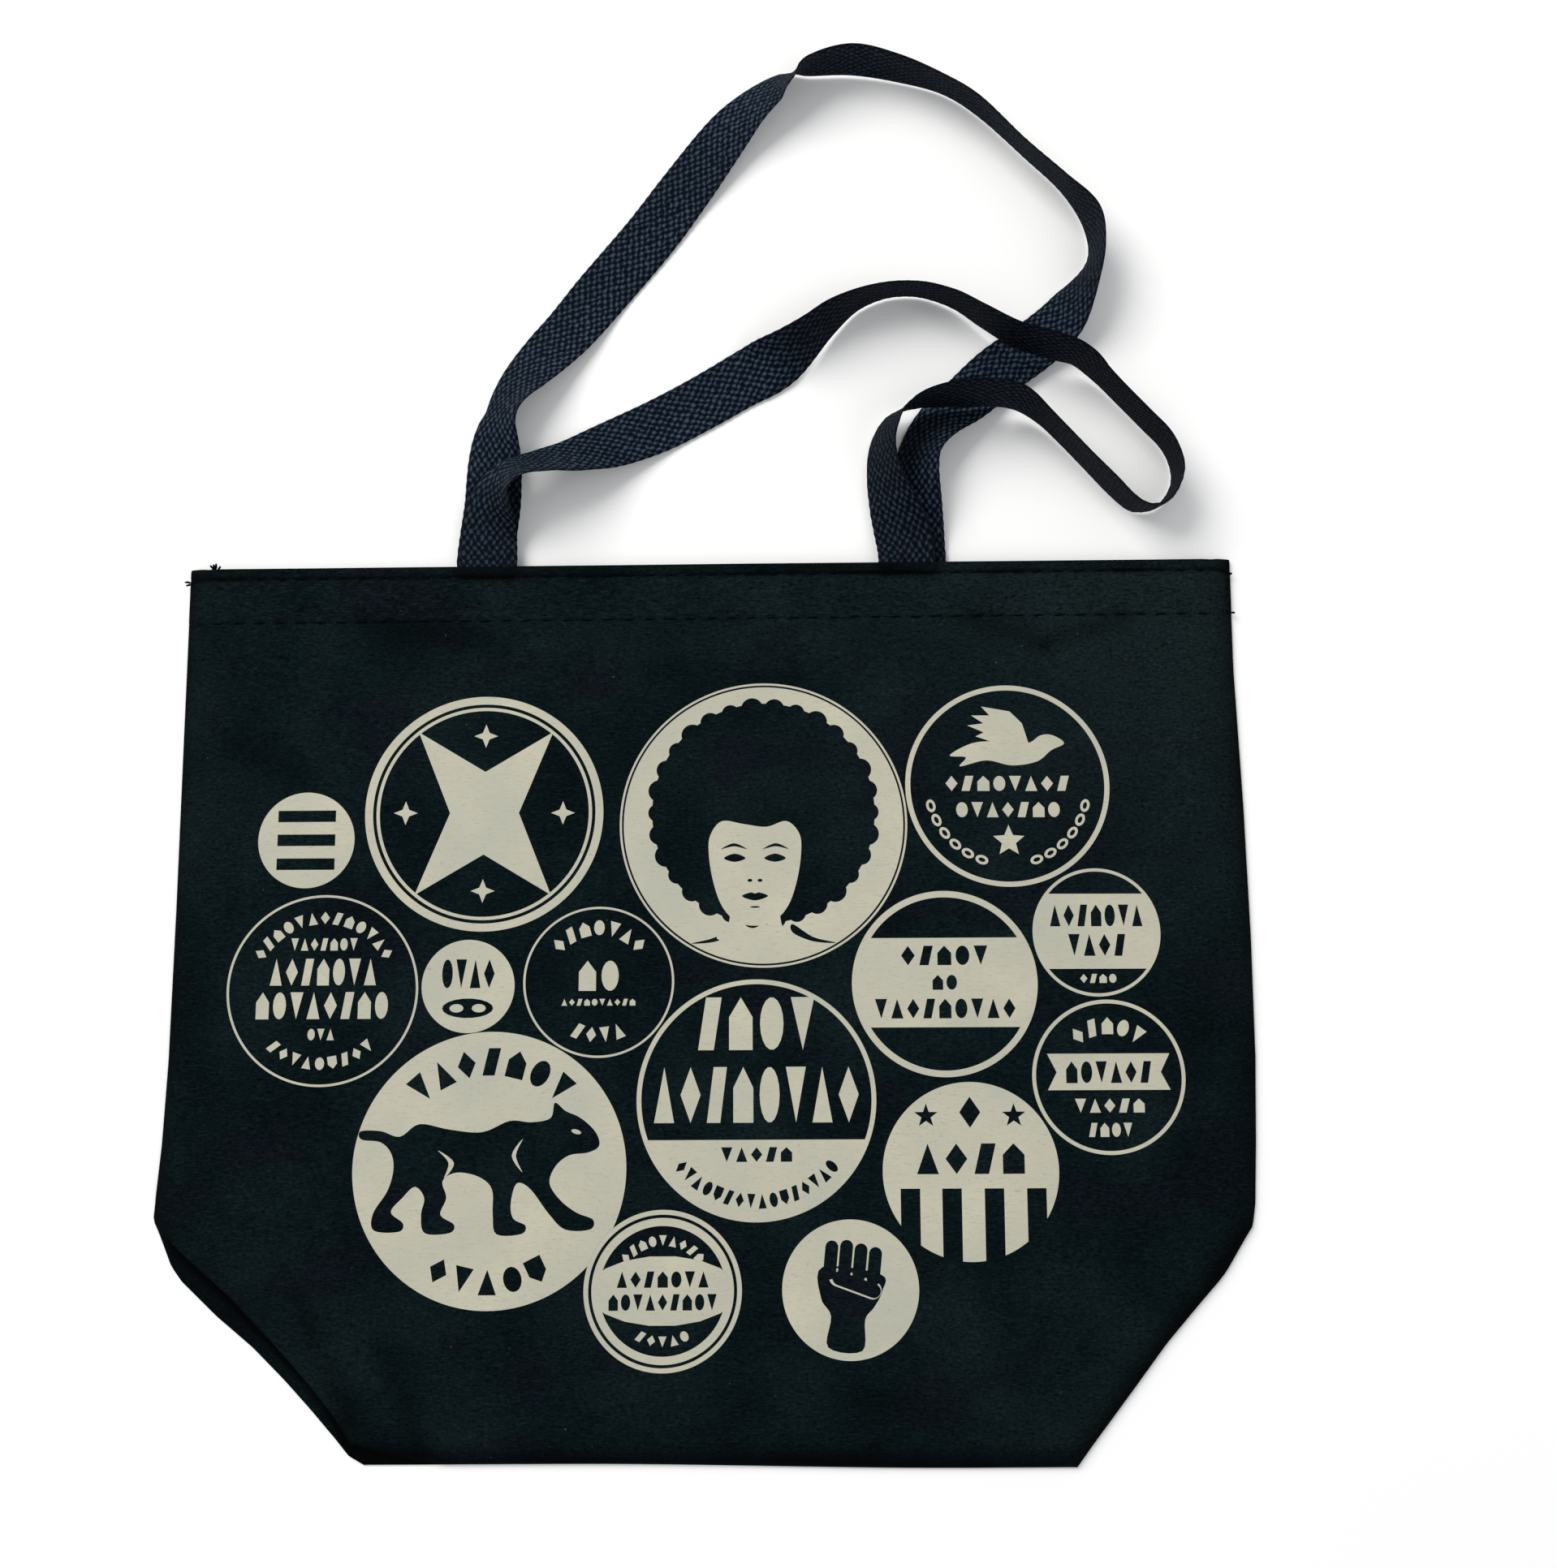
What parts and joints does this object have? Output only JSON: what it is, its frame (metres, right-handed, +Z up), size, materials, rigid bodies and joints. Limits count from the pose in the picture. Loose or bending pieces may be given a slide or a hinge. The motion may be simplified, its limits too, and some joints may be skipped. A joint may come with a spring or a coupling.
{
  "type": "tote bag",
  "caption": "Flat empty canvas tote bag with two webbing handles lying loose above its mouth and round screen-printed motifs on its front.",
  "frame": {"origin": "under the middle of the whole part, handles included, on the surface that the bag lies on", "axes": "+X to the bag's right as seen from its front, +Y from the bag towards its handles, +Z up out of the printed front"},
  "size_m": [0.4572, 0.6206, 0.0347],
  "materials": {
    "canvas": "matt woven cotton canvas, near-black navy",
    "webbing": "woven cotton webbing, dark navy",
    "thread": "matt sewing thread, black",
    "ink": "flat screen-print ink, cream"
  },
  "bodies": {
    "bag": {"back_panel": "canvas", "front_panel": "canvas", "bottom_gusset": "canvas", "left_side_seam": "canvas", "right_side_seam": "canvas", "left_corner_seam": "canvas", "right_corner_seam": "canvas", "back_hem_stitches": "thread", "front_hem_stitches": "thread", "front_handle_tacks": "thread", "thread_ends": "thread", "back_handle_sewn_ends": "webbing", "front_handle_sewn_ends": "webbing", "print_three_bars": "ink", "print_rosette": "ink", "print_portrait": "ink", "print_bird": "ink", "print_band": "ink", "print_sash": "ink", "print_rows": "ink", "print_tall_marks": "ink", "print_two_marks": "ink", "print_headline": "ink", "print_cat": "ink", "print_ball": "ink", "print_fist": "ink", "print_stripes": "ink", "print_ribbon": "ink"},
    "front_strap": {"front_handle": "webbing"},
    "back_strap": {"back_handle": "webbing"}
  },
  "joints": [
    {"name": "front_handle_swing", "type": "hinge", "parent": "bag", "child": "front_strap", "pos_m": [0, 0.074, 0.0059], "axis": [1, 0, 0], "range_deg": [0, 115]},
    {"name": "back_handle_swing", "type": "hinge", "parent": "bag", "child": "back_strap", "pos_m": [0, 0.074, 0.0021], "axis": [1, 0, 0], "range_deg": [-130, 0]}
  ]
}
